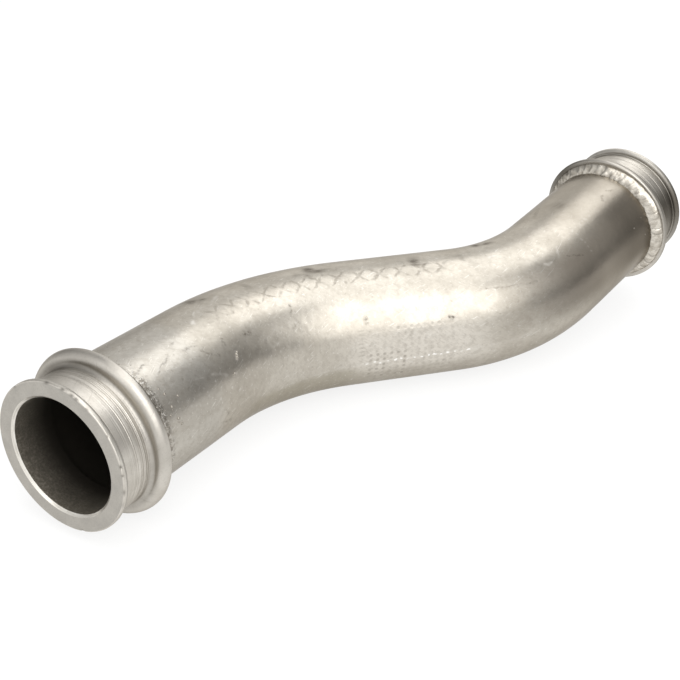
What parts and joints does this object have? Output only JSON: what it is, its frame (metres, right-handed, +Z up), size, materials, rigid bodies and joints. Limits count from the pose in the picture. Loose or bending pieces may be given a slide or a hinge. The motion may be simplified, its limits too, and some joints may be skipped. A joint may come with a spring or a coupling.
{
  "type": "coolant pipe",
  "caption": "Bent steel coolant pipe with a compound S bend and a turned, grooved plug-in fitting welded on each end.",
  "frame": {"origin": "centre of the bounding box, on the ground that the pipe lies on", "axes": "+X along the line from the front end face to the rear one, seen from above; +Z up, with the pipe as it comes to rest on its middle run and front collar"},
  "size_m": [0.3646, 0.104, 0.0823],
  "materials": {
    "tube_steel": "bare drawn steel, satin, with faint bending marks outside and dark scale inside",
    "turned_steel": "turned, with fine tool lines in the groove",
    "weld_metal": "rippled bead, as welded"
  },
  "bodies": {
    "root": {"bent_tube": "tube_steel", "front_end_fitting": "turned_steel", "rear_end_fitting": "turned_steel", "front_weld_bead": "weld_metal", "rear_weld_bead": "weld_metal"}
  },
  "joints": []
}
